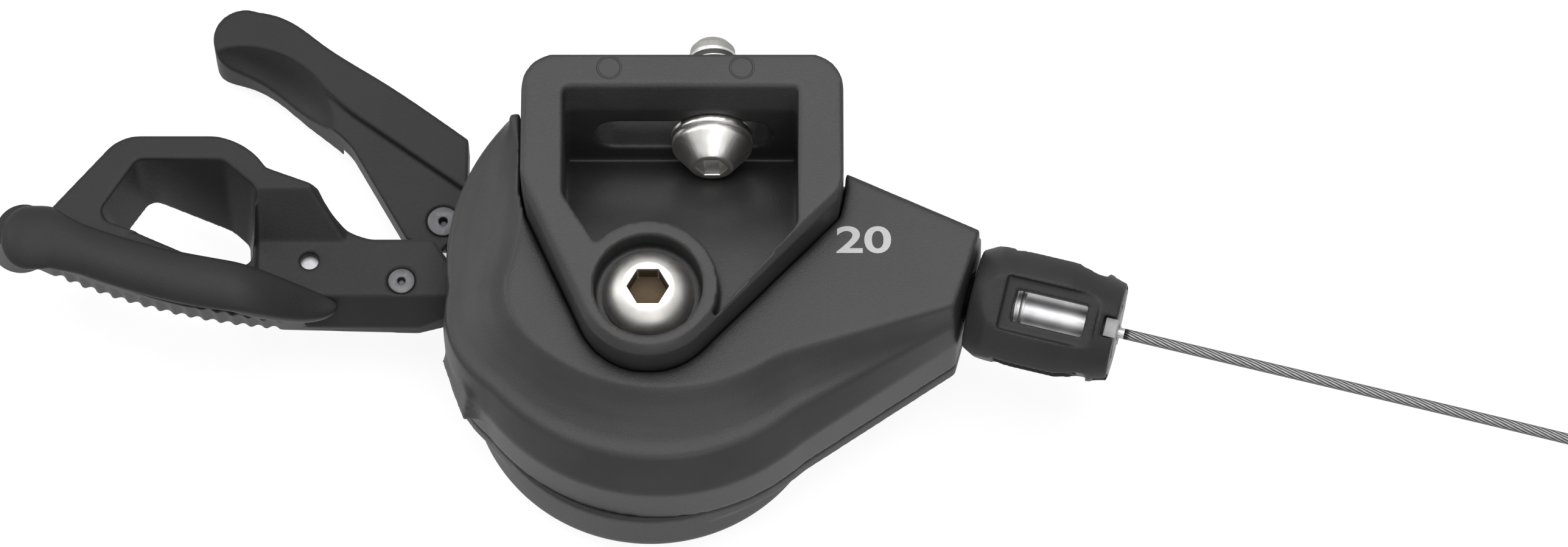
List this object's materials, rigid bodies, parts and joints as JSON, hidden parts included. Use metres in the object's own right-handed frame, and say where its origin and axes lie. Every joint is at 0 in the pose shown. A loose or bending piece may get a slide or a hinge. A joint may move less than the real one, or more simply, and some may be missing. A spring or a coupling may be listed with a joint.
{
  "type": "trigger gear shifter",
  "caption": "Handlebar trigger gear shifter: moulded case on a slotted clamp bracket, looped winding lever, release lever, barrel adjuster and gear wire coming out of it.",
  "frame": {"origin": "on the lever pivot's axis at the flat back face of the case", "axes": "+Z along the lever pivot, out of the top cover; +X across the case towards the wire outlet; +Y towards the clamp flange"},
  "size_m": [0.2332, 0.0672, 0.0288],
  "materials": {
    "cover_resin": "fine moulded grain, satin black",
    "case_resin": "smooth moulded black",
    "bracket_resin": "fine moulded grain, satin black",
    "lever_resin": "matte black",
    "knob_resin": "matte black",
    "bolt_steel": "bright zinc-plated steel",
    "plate_steel": "pressed steel",
    "rivet_steel": "dull steel",
    "washer_steel": "turned steel",
    "spring_steel": "spring steel",
    "drum_resin": "moulded dark grey",
    "adjuster_alloy": "turned alloy",
    "wire_steel": "stranded stainless wire",
    "tie_resin": "matte black strap",
    "cap_alloy": "crimped alloy"
  },
  "bodies": {
    "case": {"top_cover": "cover_resin", "lower_case": "case_resin", "bracket": "bracket_resin", "main_bolt": "bolt_steel", "axle": "rivet_steel", "lever_spacer": "washer_steel", "release_washer": "washer_steel", "main_washer": "washer_steel", "holding_pawl_pin": "rivet_steel", "case_screws": "rivet_steel", "drum_spring": "spring_steel", "main_lever_spring": "spring_steel", "release_lever_spring": "spring_steel", "wire_inside": "wire_steel", "wire_free": "wire_steel", "wire_coil": "wire_steel", "wire_tie": "tie_resin", "wire_cap": "cap_alloy"},
    "main_lever": {"main_plate": "plate_steel", "main_pad": "lever_resin", "main_rivet": "rivet_steel", "winding_pawl_pin": "rivet_steel"},
    "release_lever": {"release_plate": "plate_steel", "release_pad": "lever_resin", "release_rivet": "rivet_steel"},
    "drum": {"cable_drum": "drum_resin", "ratchet_wheel": "plate_steel", "wire_head": "wire_steel", "wire_wrap": "wire_steel"},
    "winding_pawl": {"winding_pawl": "plate_steel"},
    "holding_pawl": {"holding_pawl": "plate_steel"},
    "knob": {"adjuster_knob": "knob_resin"},
    "adjuster": {"adjuster_bolt": "adjuster_alloy"},
    "clamp": {"clamp_bolt": "bolt_steel", "clamp_washer": "bolt_steel"}
  },
  "joints": [
    {"name": "main_lever_swing", "type": "hinge", "parent": "case", "child": "main_lever", "pos_m": [0, 0, 0.012], "axis": [0, 0, -1], "range_deg": [0, 30], "stiffness_Nm_per_rad": 0.4},
    {"name": "release_lever_swing", "type": "hinge", "parent": "case", "child": "release_lever", "pos_m": [0, 0, 0.0056], "axis": [0, 0, 1], "range_deg": [-10, 10], "stiffness_Nm_per_rad": 0.4},
    {"name": "drum_turn", "type": "hinge", "parent": "case", "child": "drum", "pos_m": [0, 0, 0.0165], "axis": [0, 0, 1], "range_deg": [0, 165], "stiffness_Nm_per_rad": 0.03},
    {"name": "winding_pawl_lift", "type": "hinge", "parent": "main_lever", "child": "winding_pawl", "pos_m": [-0.01147, -0.00803, 0.0142], "axis": [0, 0, 1], "range_deg": [0, 8], "stiffness_Nm_per_rad": 0.002},
    {"name": "holding_pawl_lift", "type": "hinge", "parent": "case", "child": "holding_pawl", "pos_m": [0.007, -0.01212, 0.0142], "axis": [0, 0, 1], "range_deg": [0, 8], "stiffness_Nm_per_rad": 0.002},
    {"name": "knob_turn", "type": "hinge", "parent": "case", "child": "knob", "pos_m": [0.0368, 0.0031, 0.0165], "axis": [0.9686, -0.2487, 0], "range_deg": [0, 460]},
    {"name": "adjuster_travel", "type": "slide", "parent": "knob", "child": "adjuster", "axis": [0.9686, -0.2487, 0], "range_m": [0, 0.001]},
    {"name": "clamp_shift", "type": "slide", "parent": "case", "child": "clamp", "axis": [1, 0, 0], "range_m": [-0.01, 0.0036]}
  ],
  "couplings": [
    {"joint": "knob_turn", "follows": "adjuster_travel", "rad_per_m": 7854}
  ]
}
